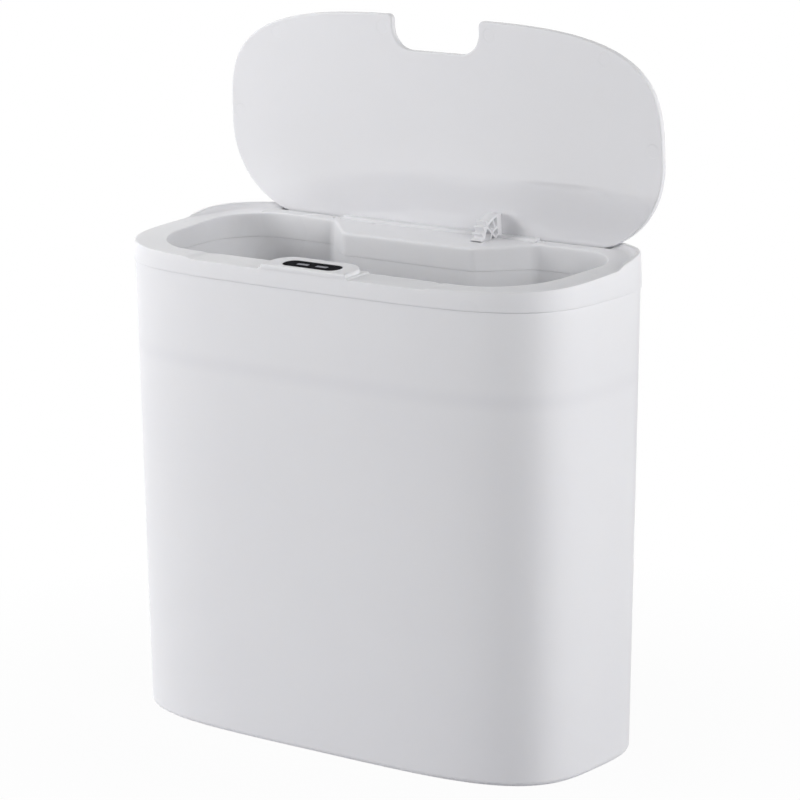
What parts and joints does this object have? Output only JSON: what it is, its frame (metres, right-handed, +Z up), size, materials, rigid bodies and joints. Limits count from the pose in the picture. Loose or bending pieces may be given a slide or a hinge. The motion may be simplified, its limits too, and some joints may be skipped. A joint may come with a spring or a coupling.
{
  "type": "sensor bin",
  "caption": "Slim oval bin with a motor-driven flat lid, a sensor window at the front and a lift-off head frame over a tapered body.",
  "frame": {"origin": "middle of the base, where the bin stands", "axes": "+Z up, +X to the bin's right seen from its front, +Y towards the hinge at its back"},
  "size_m": [0.3214, 0.1544, 0.4255],
  "materials": {
    "body_plastic": "white satin polypropylene",
    "head_plastic": "white satin polypropylene",
    "lid_plastic": "white smooth polypropylene",
    "gear_plastic": "white acetal",
    "pinion_brass": "cut brass",
    "window_black": "glossy black",
    "lens_grey": "smoked grey",
    "steel": "bright zinc",
    "dark_plastic": "grey moulded",
    "board_green": "green board",
    "cable_grey": "grey jacket",
    "cable_red": "red jacket",
    "battery_wrap": "plain printed-film wrap",
    "switch_black": "black moulded"
  },
  "bodies": {
    "bin": {"body_shell": "body_plastic"},
    "head": {"head_frame": "head_plastic", "inner_collar": "head_plastic", "hinge_rod": "steel", "sensor_window": "window_black", "ir_emitter": "lens_grey", "ir_receiver": "lens_grey", "sensor_pcb": "board_green", "sensor_screw_left": "steel", "sensor_screw_right": "steel", "sensor_cable": "cable_grey", "main_pcb": "board_green", "board_screw_left": "steel", "board_screw_right": "steel", "gear_bracket": "dark_plastic", "bracket_screw_left": "steel", "bracket_screw_right": "steel", "output_axle": "steel", "first_axle": "steel", "motor": "steel", "motor_cable": "cable_red", "battery_holder": "dark_plastic", "battery_left": "battery_wrap", "battery_right": "battery_wrap", "contact_left": "steel", "contact_right": "steel", "contact_spring": "steel", "battery_cable": "cable_red", "power_switch": "switch_black", "collar_screw_front_left": "steel", "collar_screw_front_right": "steel", "collar_screw_rear_left": "steel", "collar_screw_rear_right": "steel"},
    "lid": {"lid_panel": "lid_plastic", "sector_gear": "gear_plastic"},
    "output_gear": {"output_gear": "gear_plastic"},
    "first_gear": {"first_gear": "gear_plastic"},
    "motor_pinion": {"motor_pinion": "pinion_brass"},
    "battery_door": {"battery_door": "head_plastic"},
    "switch_knob": {"switch_knob": "switch_black"}
  },
  "joints": [
    {"name": "head_lift", "type": "slide", "parent": "bin", "child": "head", "axis": [0, 0, 1], "range_m": [0, 0.06]},
    {"name": "lid_hinge", "type": "hinge", "parent": "head", "child": "lid", "pos_m": [0, 0.0562, 0.2943], "axis": [1, 0, 0], "range_deg": [0, 90]},
    {"name": "output_gear_spin", "type": "hinge", "parent": "head", "child": "output_gear", "pos_m": [0.041, 0.03989, 0.27619], "axis": [1, 0, 0], "range_deg": [-270, 10]},
    {"name": "first_gear_spin", "type": "hinge", "parent": "head", "child": "first_gear", "pos_m": [0.048, 0.05269, 0.27622], "axis": [1, 0, 0], "range_deg": [-10, 590]},
    {"name": "motor_pinion_spin", "type": "hinge", "parent": "head", "child": "motor_pinion", "pos_m": [0.05, 0.06419, 0.27622], "axis": [1, 0, 0], "range_deg": [-2100, 10]},
    {"name": "battery_door_slide", "type": "slide", "parent": "head", "child": "battery_door", "axis": [0, 0, -1], "range_m": [0, 0.02]},
    {"name": "switch_slide", "type": "slide", "parent": "head", "child": "switch_knob", "axis": [1, 0, 0], "range_m": [0, 0.004]}
  ],
  "couplings": [
    {"joint": "output_gear_spin", "follows": "lid_hinge", "ratio": -2.9},
    {"joint": "first_gear_spin", "follows": "lid_hinge", "ratio": 6.38},
    {"joint": "motor_pinion_spin", "follows": "lid_hinge", "ratio": -22.968}
  ]
}
